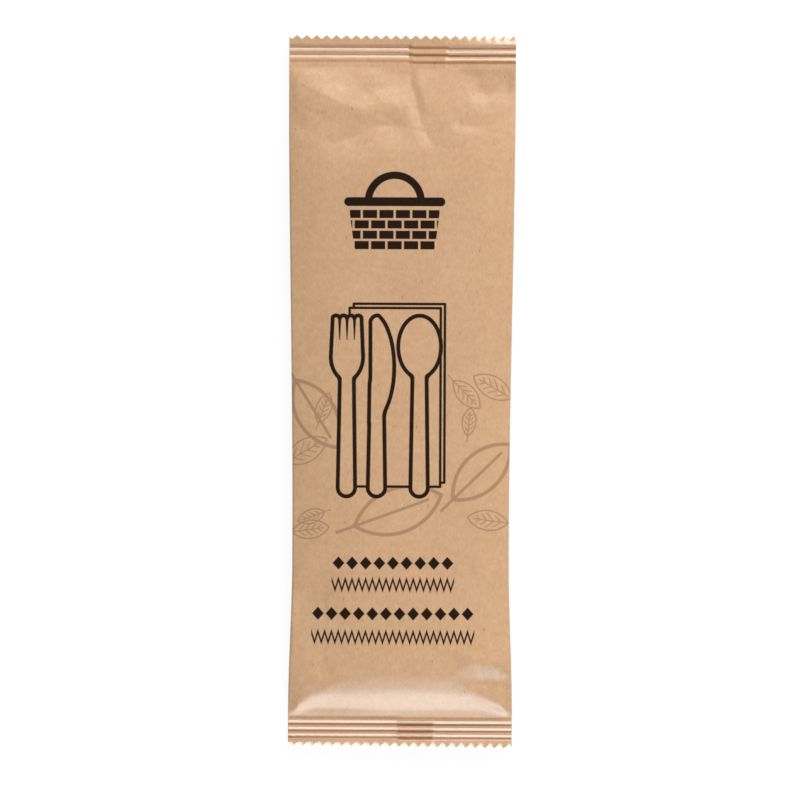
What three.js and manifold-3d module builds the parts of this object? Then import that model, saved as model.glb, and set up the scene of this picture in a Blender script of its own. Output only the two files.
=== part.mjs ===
// A sealed kraft paper flow pack that holds a wooden picnic cutlery set and a napkin.
// One tube of paper, closed by a fin seal down its back and by a grooved, zigzag-cut seal at each end.
// Millimetres. X runs across the pack, Y along it towards the head seal, Z up from the table.
// The pack lies on its back, and the origin is on the table under its centre.
import * as THREE from "three";
import { mergeVertices } from "three/addons/utils/BufferGeometryUtils.js";
import Module from "manifold-3d";

// Outline, seen from the front
const PACK_LENGTH = 226; // tooth tip to tooth tip
const BODY_WIDTH = 68.6; // drawn in where the contents fill the tube
const HEAD_FLARE = 3.3; // how much wider the flat head seal is
const FOOT_FLARE = 2.4;
const HEAD_WAIST = 150; // length over which the head draws in to the body
const FOOT_WAIST = 50;

// Thickness, and heights above the table
const BODY_THICKNESS = 8.4; // over the contents
const SIDE_LEVEL = 4.8; // middle of the side folds beside the contents
const SEAL_LEVEL = 2.8; // middle of the end seals
const PAPER = 0.12; // one ply
const FOLD_RADIUS = 0.6; // side folds beside the contents
const CROWN = 3.2; // power of the front panel's crown: higher is flatter
const BACK_FLAT = 46; // width of the back panel that lies on the table
const HIP = 2.8; // sharpness of the hips between the end ramps and the side slopes

// End seals, measured inwards from the tooth tips
const GROOVE_COUNT = 3;
const GROOVE_DEPTH = 0.48;
const HEAD_FIRST_GROOVE = 4; // to the middle of the outermost groove
const FOOT_FIRST_GROOVE = 3;
const HEAD_GROOVE_PITCH = 2.33;
const FOOT_GROOVE_PITCH = 2.12;
const HEAD_MARGIN = 0.2; // flat paper past the last groove
const FOOT_MARGIN = 0.4;
const TOOTH_DEPTH = 1.25;
const HEAD_TOOTH_PITCH = 3.14;
const FOOT_TOOTH_PITCH = 3.03;
const HEAD_TOOTH_TIP = 1.02; // the tip nearest the middle
const FOOT_TOOTH_TIP = -0.4;

// Slack paper between the end seals and the contents
const HEAD_RAMP = 36; // length
const FOOT_RAMP = 22;
const HEAD_RAMP_POWER = 1.4; // higher rises sooner
const FOOT_RAMP_POWER = 4;
const HEAD_RAMP_EASE = 0; // 0 bends up at the seal's edge, 1 curves up from it
const FOOT_RAMP_EASE = 1;

// The head's right corner, which has buckled up along the seal's edge and curls down at the tips
const CORNER_REACH = 18; // from the tooth tips to where the buckle starts
const CORNER_LIFT = 0.14; // slope up to the seal's edge
const CORNER_FALL = 0.45; // slope down from the outermost groove to the tooth tips
const CORNER_START = 9; // right of the centre
const CORNER_RUN = 26; // width over which the buckle grows to its full slopes

// Fin seal, folded flat against the back
const HEAD_FIN_ROOT = 2.8; // where it leaves the back panel, right of the centre seen from the front
const FOOT_FIN_ROOT = -0.7;
const FIN_WIDTH = 11.2;
const FIN_THICKNESS = 0.36;
const FIN_EDGE = 0.1; // width of the step at each side of the fin
const FIN_DRAPE = 9; // how far the back panel hangs clear of the table beside the fin
const FIN_SHOW = 0.16; // how far the fin stands out through the front of the end seals

// Folds in the front panel, each along a path of points: X, distance from the tooth tips and rise.
// The rise is positive on a ridge and negative in a valley. It fades out over the inner reach towards
// the middle of the pack and over the outer reach towards its edge.
const HEAD_FOLDS = [
  { path: [[2.6, 13, -0.5], [5.4, 24, -0.9], [11.8, 38, 0]], inner: 10, outer: 2.5 },
  { path: [[-35, 12.5, 0.3], [-24, 19, 1], [-13.5, 24, 0.6]], inner: 11, outer: 9 },
  { path: [[-22, 34.5, -0.6], [-14, 32, -1], [2, 29, -0.4]], inner: 8, outer: 5 },
  { path: [[19.3, 9.5, -0.3], [26.7, 18, -0.65], [35.9, 15, -0.3]], inner: 7, outer: 9 },
  { path: [[15.3, 28, -0.2], [27.7, 29, -0.3]], inner: 4, outer: 5 },
];
const FOOT_FOLDS = [
  { path: [[20.5, 27.8, 0.3], [30, 27.4, 1.1], [35.5, 26.6, 1.2]], inner: 9, outer: 6 },
  { path: [[21, 21.6, -0.6], [23.5, 22.1, -1.4], [35.5, 21.6, -1.4]], inner: 6, outer: 6 },
  { path: [[21.8, 18.8, 0.3], [33.7, 12.3, 0.6]], inner: 5, outer: 4 },
  { path: [[-35.3, 11.4, 0.4], [-20.9, 19.8, 0.1]], inner: 5, outer: 4 },
  { path: [[-34.3, 43.6, -0.5], [-23.9, 56.5, 0]], inner: 4.5, outer: 8 },
  { path: [[-23, 55, -0.2], [-24, 45, -0.9], [-24.5, 29, -1.1], [-25, 20, -0.5]], inner: 22, outer: 12 },
];
const FOLD_FADE = 1.25; // power of the fading: higher is sharper along the fold
const FOLD_CLEAR = 3; // the folds fade out over this length next to an end seal
const FOLD_SIDE_CLEAR = 3; // and over this width next to a side fold

// How finely the surfaces are faceted
const HEAD_FOLD_ZONE = 34; // finely faceted length beside the end seal
const FOOT_FOLD_ZONE = 27;
const GROOVE_ROWS = 6;
const FOLD_ROWS = 11;
const BODY_ROWS = 12;
const EDGE_COLUMNS = 3;
const LEFT_COLUMNS = 13;
const FIN_COLUMNS = 4;
const RIGHT_COLUMNS = 9;

const HALF_LENGTH = PACK_LENGTH / 2;
const HEAD = {
  side: 1,
  flare: HEAD_FLARE,
  waist: HEAD_WAIST,
  firstGroove: HEAD_FIRST_GROOVE,
  groovePitch: HEAD_GROOVE_PITCH,
  margin: HEAD_MARGIN,
  toothPitch: HEAD_TOOTH_PITCH,
  toothTip: HEAD_TOOTH_TIP,
  ramp: HEAD_RAMP,
  rampPower: HEAD_RAMP_POWER,
  rampEase: HEAD_RAMP_EASE,
  folds: HEAD_FOLDS,
  foldZone: HEAD_FOLD_ZONE,
};
const FOOT = {
  side: -1,
  flare: FOOT_FLARE,
  waist: FOOT_WAIST,
  firstGroove: FOOT_FIRST_GROOVE,
  groovePitch: FOOT_GROOVE_PITCH,
  margin: FOOT_MARGIN,
  toothPitch: FOOT_TOOTH_PITCH,
  toothTip: FOOT_TOOTH_TIP,
  ramp: FOOT_RAMP,
  rampPower: FOOT_RAMP_POWER,
  rampEase: FOOT_RAMP_EASE,
  folds: FOOT_FOLDS,
  foldZone: FOOT_FOLD_ZONE,
};

const { clamp, lerp: mix } = THREE.MathUtils;
const smooth = (value, length) => THREE.MathUtils.smoothstep(value, 0, length);
const endAt = (y) => (y >= 0 ? HEAD : FOOT);
const fromTips = (y) => HALF_LENGTH - Math.abs(y);
const firstGrooveStart = (end) => end.firstGroove - end.groovePitch / 2;
const sealLength = (end) => firstGrooveStart(end) + GROOVE_COUNT * end.groovePitch + end.margin;
const pastSeal = (end, y) => Math.max(0, HALF_LENGTH - end.side * y - sealLength(end));

// Half the pack's width at a station along it.
function halfWidth(y) {
  const flare = (end) => end.flare * (1 - smooth(pastSeal(end, y), end.waist));
  return (BODY_WIDTH + flare(HEAD) + flare(FOOT)) / 2;
}

// How full the tube is at a station: 0 in the end seals and 1 over the contents.
function filled(y) {
  const share = (end) => {
    const along = clamp(pastSeal(end, y) / end.ramp, 0, 1);
    return 1 - (1 - along) ** end.rampPower * (1 + end.rampEase * end.rampPower * along);
  };
  return Math.min(share(HEAD), share(FOOT));
}

// The lower of two shares from 0 to 1, with a rounded hip where they cross.
function roundedLower(a, b) {
  if (a <= 0 || b <= 0) return 0;
  return (a ** -HIP + b ** -HIP - 1) ** (-1 / HIP);
}

// The grooves that the sealing jaws press across an end, as a negative height.
function grooves(y) {
  const end = endAt(y);
  const turn = (fromTips(y) - firstGrooveStart(end)) / end.groovePitch;
  if (turn < 0 || turn > GROOVE_COUNT) return 0;
  return (-GROOVE_DEPTH * (1 - Math.cos(2 * Math.PI * turn))) / 2;
}

// Height that one fold adds at a place, given by X and the distance from the tooth tips.
function foldHeight({ path, inner, outer }, x, depth) {
  let nearest = Infinity;
  let height = 0;
  for (let i = 1; i < path.length; i++) {
    const [startX, startDepth, startRise] = path[i - 1];
    const [endX, endDepth, endRise] = path[i];
    const run = new THREE.Vector2(endX - startX, endDepth - startDepth);
    const off = new THREE.Vector2(x - startX, depth - startDepth);
    const along = clamp(off.dot(run) / run.lengthSq(), 0, 1);
    off.addScaledVector(run, -along);
    if (off.length() >= nearest) continue;
    nearest = off.length();
    const reach = run.cross(off) > 0 ? inner : outer;
    height = mix(startRise, endRise, along) * Math.max(0, 1 - nearest / reach) ** FOLD_FADE;
  }
  return height;
}

// Height that all the folds add to the front panel.
function folds(x, y) {
  const end = endAt(y);
  const inside = halfWidth(y) - Math.abs(x);
  const shown = smooth(pastSeal(end, y), FOLD_CLEAR) * smooth(inside, FOLD_SIDE_CLEAR);
  return shown * end.folds.reduce((sum, fold) => sum + foldHeight(fold, x, fromTips(y)), 0);
}

// Left edge of the fin seal, which runs a little askew.
const finRoot = (y) => mix(FOOT_FIN_ROOT, HEAD_FIN_ROOT, (y + HALF_LENGTH) / PACK_LENGTH);

// Whether a place lies on the fin, clear of the steps at its sides.
function inFin(x, y) {
  const off = x - finRoot(y);
  return off > FIN_EDGE / 2 && off < FIN_WIDTH - FIN_EDGE / 2;
}

// How much the back panel is held off the table by the fin: 1 over the fin, 0 past its drape.
function draped(x, y) {
  const off = x - finRoot(y);
  return 1 - smooth(Math.max(-off, off - FIN_WIDTH), FIN_DRAPE);
}

// Height of the middle of the tube, with the buckled corner.
function level(x, y) {
  const sealEdge = HALF_LENGTH - sealLength(HEAD);
  const buckleStart = HALF_LENGTH - CORNER_REACH;
  const lift = CORNER_LIFT * clamp(y - buckleStart, 0, sealEdge - buckleStart);
  const fall = CORNER_FALL * Math.max(0, y - HALF_LENGTH + firstGrooveStart(HEAD));
  const buckle = (lift - fall) * smooth(x - CORNER_START, CORNER_RUN);
  return mix(SEAL_LEVEL, SIDE_LEVEL, filled(y)) + buckle;
}

// How far a panel stands from the middle of the tube where it springs from a rounded side fold.
function foldRound(x, y) {
  const radius = mix(PAPER, FOLD_RADIUS, filled(y));
  const short = 1 - clamp((halfWidth(y) - Math.abs(x)) / radius, 0, 1);
  return Math.max(PAPER, radius * Math.sqrt(1 - short ** 2));
}

// Height of the front panel.
function frontHeight(x, y) {
  const across = Math.abs(x) / halfWidth(y);
  const crown = roundedLower(filled(y), 1 - across ** CROWN);
  const rise = crown * (BODY_THICKNESS - SIDE_LEVEL - FOLD_RADIUS);
  const fin = inFin(x, y) && pastSeal(endAt(y), y) === 0 ? FIN_SHOW : 0;
  return level(x, y) + foldRound(x, y) + rise + grooves(y) + folds(x, y) + fin;
}

// Height of the back panel, with the fin on it.
function backHeight(x, y) {
  const beyond = Math.max(0, Math.abs(x) - BACK_FLAT / 2) / (halfWidth(y) - BACK_FLAT / 2);
  const belly = roundedLower(filled(y), 1 - beyond ** 2);
  const drop = belly * (SIDE_LEVEL - FOLD_RADIUS);
  const fin = FIN_THICKNESS * (draped(x, y) * belly - (inFin(x, y) ? 1 : 0));
  return level(x, y) - foldRound(x, y) - drop + grooves(y) + fin;
}

// Stations along the pack, from the foot to the head.
function stations() {
  const fromEnd = (end) => {
    const gaps = [0];
    for (let row = 0; row <= GROOVE_COUNT * GROOVE_ROWS; row++) {
      gaps.push(firstGrooveStart(end) + (row / GROOVE_ROWS) * end.groovePitch);
    }
    for (let row = 0; row <= FOLD_ROWS; row++) gaps.push(sealLength(end) + (row / FOLD_ROWS) * end.foldZone);
    return gaps.map((gap) => end.side * (HALF_LENGTH - gap));
  };
  const foot = fromEnd(FOOT);
  const head = fromEnd(HEAD).reverse();
  const body = [];
  for (let row = 1; row < BODY_ROWS; row++) body.push(mix(foot.at(-1), head[0], row / BODY_ROWS));
  return [...foot, ...body, ...head];
}

// Places across the pack, closer together in the side folds and doubled at each edge of the fin.
function columns(y) {
  const inner = halfWidth(y) - FOLD_RADIUS;
  const root = finRoot(y);
  const tip = root + FIN_WIDTH;
  const places = [];
  const spread = (start, end, count) => {
    for (let i = 0; i <= count; i++) places.push(mix(start, end, i / count));
  };
  const turned = (i) => inner + FOLD_RADIUS * Math.cos((i / EDGE_COLUMNS) * (Math.PI / 2));
  for (let i = 0; i < EDGE_COLUMNS; i++) places.push(-turned(i));
  spread(-inner, root, LEFT_COLUMNS);
  spread(root + FIN_EDGE, tip - FIN_EDGE, FIN_COLUMNS);
  spread(tip, inner, RIGHT_COLUMNS);
  for (let i = EDGE_COLUMNS - 1; i >= 0; i--) places.push(turned(i));
  return places;
}

// The sealed tube as one closed surface, lofted through its stations.
function tubeGeometry() {
  const rows = stations();
  const points = [];
  for (const y of rows) {
    const places = columns(y);
    for (const x of places) points.push(x, y, frontHeight(x, y));
    for (const x of places.reverse()) points.push(x, y, backHeight(x, y));
  }
  const ring = points.length / 3 / rows.length;
  const faces = [];
  const quad = (a, b, c, d) => faces.push(a, b, c, a, c, d);
  for (let row = 0; row + 1 < rows.length; row++) {
    for (let i = 0; i < ring; i++) {
      const next = (i + 1) % ring;
      quad(row * ring + i, row * ring + next, (row + 1) * ring + next, (row + 1) * ring + i);
    }
  }
  const last = (rows.length - 1) * ring;
  for (let i = 0; i + 1 < ring / 2; i++) {
    const under = ring - 1 - i;
    quad(i, under, under - 1, i + 1);
    quad(last + i, last + i + 1, last + under - 1, last + under);
  }
  const geometry = new THREE.BufferGeometry();
  geometry.setAttribute("position", new THREE.Float32BufferAttribute(points, 3));
  geometry.setIndex(faces);
  return geometry;
}

// The waste that the zigzag knife cuts away past one end seal.
function wasteGeometry(end) {
  const past = 2 * TOOTH_DEPTH;
  const reach = Math.ceil((BODY_WIDTH + end.flare) / 2 / end.toothPitch) + 1;
  const tipAt = (tooth) => end.side * end.toothTip + tooth * end.toothPitch;
  const outline = new THREE.Shape();
  outline.moveTo(tipAt(-reach - 0.5), past);
  for (let tooth = -reach; tooth <= reach; tooth++) {
    outline.lineTo(tipAt(tooth - 0.5), -TOOTH_DEPTH);
    outline.lineTo(tipAt(tooth), 0);
  }
  outline.lineTo(tipAt(reach + 0.5), -TOOTH_DEPTH);
  outline.lineTo(tipAt(reach + 0.5), past);
  const geometry = new THREE.ExtrudeGeometry(outline, { depth: 2 * SEAL_LEVEL, bevelEnabled: false });
  if (end.side < 0) geometry.rotateZ(Math.PI);
  return geometry.translate(0, end.side * HALF_LENGTH, 0);
}

const wasm = await Module();
wasm.setup();

// A closed geometry as a solid that can be cut.
function toSolid(geometry) {
  geometry.deleteAttribute("normal");
  geometry.deleteAttribute("uv");
  const merged = mergeVertices(geometry);
  return new wasm.Manifold(
    new wasm.Mesh({
      numProp: 3,
      vertProperties: merged.attributes.position.array,
      triVerts: new Uint32Array(merged.index.array),
    }),
  );
}

// A solid as a geometry that three.js can draw.
function toGeometry(solid) {
  const { vertProperties, triVerts } = solid.getMesh();
  const geometry = new THREE.BufferGeometry();
  geometry.setAttribute("position", new THREE.BufferAttribute(vertProperties, 3));
  geometry.setIndex(new THREE.BufferAttribute(triVerts, 1));
  geometry.computeVertexNormals();
  return geometry;
}

const kraft = new THREE.MeshStandardMaterial({ color: 0xcfa984, roughness: 0.35, metalness: 0 });
const cut = [HEAD, FOOT].reduce(
  (solid, end) => solid.subtract(toSolid(wasteGeometry(end))),
  toSolid(tubeGeometry()),
);
const pack = new THREE.Mesh(toGeometry(cut), kraft);
pack.name = "sealed_cutlery_pack";

const set = new THREE.Group();
set.add(pack);

export default set;
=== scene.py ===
"""A sealed kraft paper flow pack of picnic cutlery, dressed for a studio photograph.

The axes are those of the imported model: X runs across the pack, Y along it towards the head seal and Z up
from the table. The pack's lengths are in millimetres and turn into metres where the mesh and its materials
take them. The studio's lengths are in metres.
"""

import logging
import math
from dataclasses import dataclass
from enum import Enum
from functools import reduce

import bpy
import numpy as np
from mathutils import Color, Matrix, Vector, noise


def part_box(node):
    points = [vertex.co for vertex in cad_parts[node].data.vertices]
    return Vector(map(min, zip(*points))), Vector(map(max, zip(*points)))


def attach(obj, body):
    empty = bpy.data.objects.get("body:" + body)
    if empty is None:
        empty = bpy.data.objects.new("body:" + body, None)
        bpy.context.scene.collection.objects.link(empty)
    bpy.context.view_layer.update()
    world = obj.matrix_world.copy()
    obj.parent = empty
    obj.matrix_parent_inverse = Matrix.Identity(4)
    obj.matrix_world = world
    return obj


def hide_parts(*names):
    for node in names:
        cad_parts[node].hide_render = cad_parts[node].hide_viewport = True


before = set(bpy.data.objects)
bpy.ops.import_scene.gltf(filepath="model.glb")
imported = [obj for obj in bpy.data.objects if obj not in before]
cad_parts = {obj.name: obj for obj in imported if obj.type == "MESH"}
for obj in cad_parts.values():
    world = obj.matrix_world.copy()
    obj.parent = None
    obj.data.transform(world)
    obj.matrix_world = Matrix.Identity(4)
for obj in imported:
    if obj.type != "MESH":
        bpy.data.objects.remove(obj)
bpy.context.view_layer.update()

MM = 0.001
WHITE = (1, 1, 1, 1)
PACK_NODE = "sealed_cutlery_pack"
PAINTED_SHADE_AND_SHEEN = "painted_shade_and_sheen"
NO_VEINS = -1.0

log = logging.getLogger("cutlery_pack")

Point = tuple[float, float]
Triple = tuple[float, float, float]
Colour = tuple[float, float, float, float]


def paint(hex_code: str) -> Colour:
    """Turns a colour as a paint program writes it into the linear colour that shaders take.

    Args:
        hex_code: Six hexadecimal digits, red, green and blue.

    Returns:
        The linear colour with full alpha.
    """
    shares = [value / 255 for value in bytes.fromhex(hex_code)]
    red, green, blue = Color(shares).from_srgb_to_scene_linear()
    return red, green, blue, 1.0


def smooth(value: np.ndarray, length: float | np.ndarray) -> np.ndarray:
    """Eases from 0 to 1 as a value goes from 0 to a length."""
    share = np.clip(value / length, 0, 1)
    return share * share * (3 - 2 * share)


def mix(start: float | np.ndarray, end: float | np.ndarray, share: np.ndarray) -> np.ndarray:
    """Goes from start to end as a share goes from 0 to 1."""
    return start + (end - start) * share


def facet(x: float, y: float) -> float:
    """The height of straight-edged pyramids that are about 1 wide and have a slope of 1.

    Args:
        x: A place across them.
        y: A place along them.

    Returns:
        The height there, which is 0 where two pyramids meet.
    """
    gaps, tops = noise.voronoi((x, y, 0))
    others = zip(gaps[1:], tops[1:])
    return min((gap**2 - gaps[0] ** 2) / (2 * (top - tops[0]).length) for gap, top in others)


class SocketKind(Enum):
    """What a shader socket carries."""

    NUMBER = "NodeSocketFloat"
    VECTOR = "NodeSocketVector"
    COLOUR = "NodeSocketColor"


@dataclass(frozen=True)
class Field:
    """A number, vector or colour that varies over a surface: one output socket of a node tree."""

    tree: bpy.types.NodeTree
    socket: bpy.types.NodeSocket

    def _join(self, kind: str, operation: str, values: tuple, output: str) -> "Field":
        """Adds a maths node that starts from this field.

        Args:
            kind: The type of node.
            operation: What it works out.
            values: What its other inputs are fed.
            output: The name of the output that is wanted.

        Returns:
            That output.
        """
        node = self.tree.nodes.new(kind)
        node.operation = operation
        for entry, value in zip(node.inputs, (self, *values)):
            feed(entry, value)
        return Field(self.tree, node.outputs[output])

    def math(self, operation: str, *values: "Field | float") -> "Field":
        """Combines this number with others by a Math node."""
        return self._join("ShaderNodeMath", operation, values, "Value")

    def vector(self, operation: str, *values: "Field | tuple") -> "Field":
        """Combines this vector with others by a Vector Math node that gives a vector."""
        return self._join("ShaderNodeVectorMath", operation, values, "Vector")

    def measure(self, operation: str, *values: "Field | tuple") -> "Field":
        """Combines this vector with others by a Vector Math node that gives a number."""
        return self._join("ShaderNodeVectorMath", operation, values, "Value")

    def __add__(self, other: "Field | float") -> "Field":
        """The sum of two numbers."""
        return self.math("ADD", other)

    def __sub__(self, other: "Field | float") -> "Field":
        """The difference of two numbers."""
        return self.math("SUBTRACT", other)

    def __mul__(self, other: "Field | float") -> "Field":
        """The product of two numbers."""
        return self.math("MULTIPLY", other)

    def __truediv__(self, other: "Field | float") -> "Field":
        """The quotient of two numbers."""
        return self.math("DIVIDE", other)

    def __neg__(self) -> "Field":
        """The number with its sign turned."""
        return self.math("MULTIPLY", -1.0)

    def __abs__(self) -> "Field":
        """The number without its sign."""
        return self.math("ABSOLUTE")

    def least(self, *others: "Field | float") -> "Field":
        """The lowest of this number and others, which joins drawn shapes."""
        return reduce(lambda found, other: found.math("MINIMUM", other), others, self)

    def most(self, *others: "Field | float") -> "Field":
        """The highest of this number and others, which keeps what drawn shapes share."""
        return reduce(lambda found, other: found.math("MAXIMUM", other), others, self)

    def parts(self) -> tuple["Field", "Field", "Field"]:
        """Splits a vector.

        Returns:
            Its X, Y and Z.
        """
        node = self.tree.nodes.new("ShaderNodeSeparateXYZ")
        feed(node.inputs[0], self)
        return tuple(Field(self.tree, output) for output in node.outputs)

    def within(self, low: float, high: float) -> "Field":
        """Turns a range of this number into 0 to 1, and holds it at both ends.

        Args:
            low: What becomes 0.
            high: What becomes 1.

        Returns:
            The number from 0 to 1.
        """
        node = self.tree.nodes.new("ShaderNodeMapRange")
        feed(node.inputs["Value"], self)
        node.inputs["From Min"].default_value = low
        node.inputs["From Max"].default_value = high
        return Field(self.tree, node.outputs["Result"])


def feed(entry: bpy.types.NodeSocket, value: Field | float | tuple) -> None:
    """Links a node's input to a field, or sets it to a plain value.

    Args:
        entry: The input.
        value: What it is fed.
    """
    if isinstance(value, Field):
        value.tree.links.new(value.socket, entry)
    else:
        entry.default_value = value


def vector_of(x: Field, y: Field) -> Field:
    """Joins two numbers into a vector in the plane of the panel.

    Args:
        x: The vector's X.
        y: The vector's Y.

    Returns:
        The vector.
    """
    node = x.tree.nodes.new("ShaderNodeCombineXYZ")
    feed(node.inputs["X"], x)
    feed(node.inputs["Y"], y)
    return Field(x.tree, node.outputs["Vector"])


def joined(shapes: list[Field]) -> Field:
    """The distance to the nearest of several drawn shapes."""
    return shapes[0].least(*shapes[1:])


def blend(base: Field | Colour, top: Field | Colour, share: Field) -> Field:
    """One colour laid over another where a share says so.

    Args:
        base: The colour underneath.
        top: The colour that covers it.
        share: How much of the top colour shows, from 0 to 1.

    Returns:
        The mixed colour.
    """
    node = share.tree.nodes.new("ShaderNodeMix")
    node.data_type = "RGBA"
    colours = [entry for entry in node.inputs if entry.type == "RGBA"]
    feed(node.inputs["Factor"], share)
    feed(colours[0], base)
    feed(colours[1], top)
    return Field(share.tree, next(output for output in node.outputs if output.type == "RGBA"))


class NodeGroup:
    """A shader node group with named sockets, which other node trees place as one node."""

    def __init__(self, name: str, inputs: dict[str, SocketKind], outputs: dict[str, SocketKind]) -> None:
        """Makes the empty group.

        Args:
            name: The group's name.
            inputs: What each input carries.
            outputs: What each output carries.
        """
        self.tree = bpy.data.node_groups.new(name, "ShaderNodeTree")
        for way, sockets in (("INPUT", inputs), ("OUTPUT", outputs)):
            for socket, kind in sockets.items():
                self.tree.interface.new_socket(socket, in_out=way, socket_type=kind.value)
        self.entry = self.tree.nodes.new("NodeGroupInput")
        self.result = self.tree.nodes.new("NodeGroupOutput")

    def read(self, name: str) -> Field:
        """One of the group's inputs, for use inside it."""
        return Field(self.tree, self.entry.outputs[name])

    def give(self, name: str, value: Field) -> None:
        """Sets what one of the group's outputs gives."""
        feed(self.result.inputs[name], value)

    def place(self, tree: bpy.types.NodeTree, **values: Field | float | tuple) -> dict[str, Field]:
        """Places the group in another tree.

        Args:
            tree: The tree that gets the group.
            values: What each input is fed.

        Returns:
            The group's outputs by name.
        """
        node = tree.nodes.new("ShaderNodeGroup")
        node.node_tree = self.tree
        for name, value in values.items():
            feed(node.inputs[name], value)
        return {output.name: Field(tree, output) for output in node.outputs}


class LeafKind(Enum):
    """The two ways that leaves are drawn: the widths of the outline's line and of the veins' lines."""

    BOLD = (1.15, NO_VEINS)
    FINE = (0.45, 0.36)


@dataclass(frozen=True)
class Leaf:
    """One printed leaf: where its blade starts, the way it points in degrees, and its length."""

    base: Point
    turn: float
    length: float
    kind: LeafKind
    slimness: float = 0.24


class Stencils:
    """The drawn shapes of the print: each gives the distance to its edge, negative inside it."""

    # The form of a leaf, in shares of its length, of its line or of its half width
    RIB_LINE = 0.8
    RIB_END = 0.86
    STALK = 0.22
    VEIN_PITCH = 0.17
    VEIN_SLANT = 1.1
    FIRST_VEIN = 0.1
    LAST_VEIN = 0.8
    VEIN_MARGIN = 0.3

    def __init__(self) -> None:
        """Builds the node group of each shape once."""
        self._bar = self._bar_group()
        self._oval = self._oval_group()
        self._leaf = self._leaf_group()

    @staticmethod
    def _bar_group() -> NodeGroup:
        """Draws a bar with round ends, which may be thicker at one end than at the other.

        Returns:
            The group that gives the distance to its edge.
        """
        group = NodeGroup(
            "print_bar",
            {
                "Position": SocketKind.VECTOR,
                "Start": SocketKind.VECTOR,
                "End": SocketKind.VECTOR,
                "StartRadius": SocketKind.NUMBER,
                "EndRadius": SocketKind.NUMBER,
            },
            {"Distance": SocketKind.NUMBER},
        )
        start = group.read("Start")
        offset = group.read("Position").vector("SUBTRACT", start)
        run = group.read("End").vector("SUBTRACT", start)
        along = (offset.measure("DOT_PRODUCT", run) / run.measure("DOT_PRODUCT", run)).within(0, 1)
        on_axis = run.vector("MULTIPLY", vector_of(along, along))
        near, far = group.read("StartRadius"), group.read("EndRadius")
        radius = near + (far - near) * along
        group.give("Distance", offset.measure("DISTANCE", on_axis) - radius)
        return group

    @staticmethod
    def _oval_group() -> NodeGroup:
        """Draws an ellipse.

        Returns:
            The group that gives the distance to its edge.
        """
        group = NodeGroup(
            "print_oval",
            {"Position": SocketKind.VECTOR, "Centre": SocketKind.VECTOR, "Radii": SocketKind.VECTOR},
            {"Distance": SocketKind.NUMBER},
        )
        radii = group.read("Radii")
        once = group.read("Position").vector("SUBTRACT", group.read("Centre")).vector("DIVIDE", radii)
        size = once.measure("LENGTH")
        slope = once.vector("DIVIDE", radii).measure("LENGTH")
        group.give("Distance", size * (size - 1.0) / slope)
        return group

    def _leaf_group(self) -> NodeGroup:
        """Draws a leaf in line: an almond of two arcs, a midrib that runs on as a stalk, and veins.

        Returns:
            The group that gives the distance to the edge of its lines.
        """
        group = NodeGroup(
            "print_leaf",
            {
                "Position": SocketKind.VECTOR,
                "Base": SocketKind.VECTOR,
                "Turn": SocketKind.NUMBER,
                "Length": SocketKind.NUMBER,
                "HalfWidth": SocketKind.NUMBER,
                "Line": SocketKind.NUMBER,
                "Vein": SocketKind.NUMBER,
            },
            {"Distance": SocketKind.NUMBER},
        )
        turned = group.tree.nodes.new("ShaderNodeVectorRotate")
        turned.rotation_type = "Z_AXIS"
        feed(turned.inputs["Vector"], group.read("Position").vector("SUBTRACT", group.read("Base")))
        feed(turned.inputs["Angle"], -group.read("Turn"))
        along, side, _ = Field(group.tree, turned.outputs["Vector"]).parts()
        aside = abs(side)
        length, half, line = group.read("Length"), group.read("HalfWidth"), group.read("Line")
        half_length = length / 2
        radius = (half_length * half_length + half * half) / (half * 2)
        centre = vector_of(half_length, half - radius)
        blade = vector_of(along, aside).measure("DISTANCE", centre) - radius
        outline = abs(blade) - line / 2
        rib_ends = (along - length * self.RIB_END).most(-along - length * self.STALK)
        midrib = (aside - line * (self.RIB_LINE / 2)).most(rib_ends)
        pitch = length * self.VEIN_PITCH
        slanted = along - aside * self.VEIN_SLANT - length * self.FIRST_VEIN
        gap = abs(slanted.math("FLOORED_MODULO", pitch) - pitch / 2)
        vein = gap / math.hypot(self.VEIN_SLANT, 1) - group.read("Vein") / 2
        veins = vein.most(blade + half * self.VEIN_MARGIN, -slanted, along - length * self.LAST_VEIN)
        group.give("Distance", outline.least(midrib, veins))
        return group

    def bar(self, at: Field, start: Point, end: Point, radius: float, end_radius: float = 0) -> Field:
        """A straight bar with round ends.

        Args:
            at: Where on the panel.
            start: The middle of its first end.
            end: The middle of its other end.
            radius: Half its thickness at its first end.
            end_radius: Half its thickness at its other end, if that differs.

        Returns:
            The distance to its edge.
        """
        return self._bar.place(
            at.tree,
            Position=at,
            Start=(*start, 0),
            End=(*end, 0),
            StartRadius=radius,
            EndRadius=end_radius or radius,
        )["Distance"]

    def oval(self, at: Field, centre: Point, radii: Point) -> Field:
        """An ellipse with its middle at a point."""
        return self._oval.place(at.tree, Position=at, Centre=(*centre, 0), Radii=(*radii, 1))["Distance"]

    def leaf(self, at: Field, leaf: Leaf) -> Field:
        """A leaf in line.

        Args:
            at: Where on the panel.
            leaf: Its place and size.

        Returns:
            The distance to the edge of its lines.
        """
        line, vein = leaf.kind.value
        return self._leaf.place(
            at.tree,
            Position=at,
            Base=(*leaf.base, 0),
            Turn=math.radians(leaf.turn),
            Length=leaf.length,
            HalfWidth=leaf.length * leaf.slimness,
            Line=line,
            Vein=vein,
        )["Distance"]


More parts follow.
